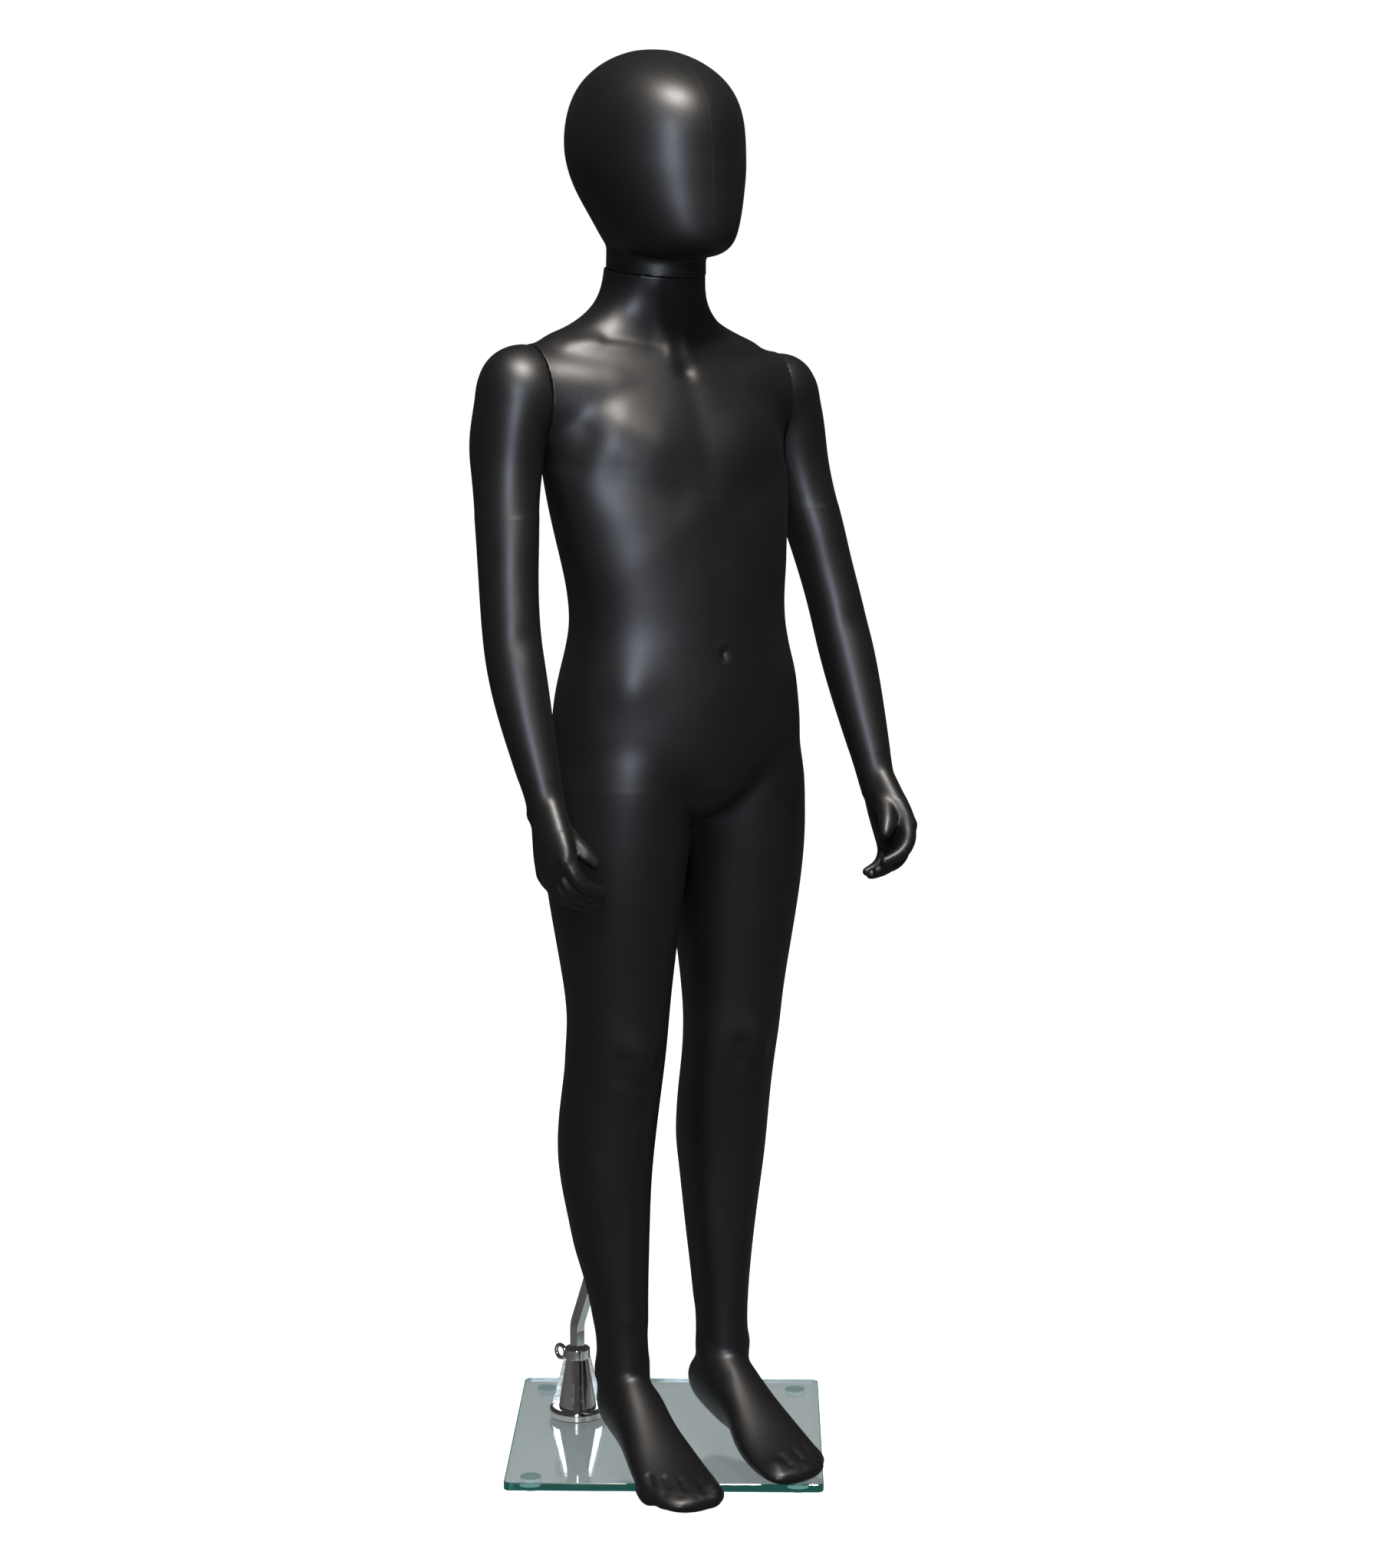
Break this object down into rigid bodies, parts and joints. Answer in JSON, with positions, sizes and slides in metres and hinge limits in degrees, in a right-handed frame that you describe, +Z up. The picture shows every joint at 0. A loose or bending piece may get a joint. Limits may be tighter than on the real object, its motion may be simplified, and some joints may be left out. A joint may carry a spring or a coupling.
{
  "type": "full body mannequin",
  "caption": "Child-size full body display mannequin with egg head, turning head and arms, on a square glass base with a bent calf rod.",
  "frame": {"origin": "on the floor, under the centre of the whole object's outline", "axes": "+Z up, the figure faces -Y, its left is +X"},
  "size_m": [0.4277, 0.423, 1.3351],
  "materials": {
    "shell_plastic": "satin black moulded plastic",
    "plated_steel": "zinc plated",
    "bright_chrome": "bright nickel chrome",
    "clear_glass": "clear with green ground edges",
    "rubber": "matt",
    "nylon": "natural nylon"
  },
  "bodies": {
    "base": {"glass_base": "clear_glass", "bumpers": "rubber", "base_gasket": "rubber", "fixing_washer": "plated_steel", "fixing_screw": "plated_steel"},
    "stand": {"base_fitting": "bright_chrome"},
    "thumb_screw": {"thumb_screw": "bright_chrome"},
    "bar": {"support_rod": "bright_chrome"},
    "figure": {"body_shell": "shell_plastic", "neck_plate": "plated_steel", "neck_screws": "plated_steel", "right_shoulder_plate": "plated_steel", "right_shoulder_screws": "plated_steel", "left_shoulder_plate": "plated_steel", "left_shoulder_screws": "plated_steel", "calf_plate": "plated_steel", "calf_plate_screws": "plated_steel", "calf_socket": "plated_steel"},
    "head": {"head_shell": "shell_plastic", "head_plate": "plated_steel", "head_screws": "plated_steel", "head_stud": "plated_steel", "head_washer": "nylon"},
    "right_arm": {"right_arm_shell": "shell_plastic", "right_arm_plate": "plated_steel", "right_arm_screws": "plated_steel", "right_arm_stud": "plated_steel", "right_arm_washer": "nylon"},
    "left_arm": {"left_arm_shell": "shell_plastic", "left_arm_plate": "plated_steel", "left_arm_screws": "plated_steel", "left_arm_stud": "plated_steel", "left_arm_washer": "nylon"}
  },
  "joints": [
    {"name": "stand_turn", "type": "hinge", "parent": "base", "child": "stand", "pos_m": [-0.0464, 0.0918, 0.014], "axis": [0, 0, 1], "range_deg": [-25, 25]},
    {"name": "thumb_screw_turn", "type": "hinge", "parent": "stand", "child": "thumb_screw", "pos_m": [-0.0464, 0.0918, 0.073], "axis": [-0.2284, 0.9736, 0], "range_deg": [0, 450]},
    {"name": "bar_height", "type": "slide", "parent": "stand", "child": "bar", "axis": [0, 0, 1], "range_m": [0, 0.03]},
    {"name": "figure_lift", "type": "slide", "parent": "bar", "child": "figure", "axis": [-0.1501, -0.6112, 0.7771], "range_m": [0, 0.055]},
    {"name": "neck_turn", "type": "hinge", "parent": "figure", "child": "head", "pos_m": [-0.01, -0.002, 1.134], "axis": [0, -0.1305, 0.9914], "range_deg": [-60, 60]},
    {"name": "right_shoulder_swing", "type": "hinge", "parent": "figure", "child": "right_arm", "pos_m": [-0.139, 0.005, 1.02], "axis": [-1, 0, 0], "range_deg": [-25, 90]},
    {"name": "left_shoulder_swing", "type": "hinge", "parent": "figure", "child": "left_arm", "pos_m": [0.119, 0.005, 1.02], "axis": [-1, 0, 0], "range_deg": [-25, 90]}
  ]
}
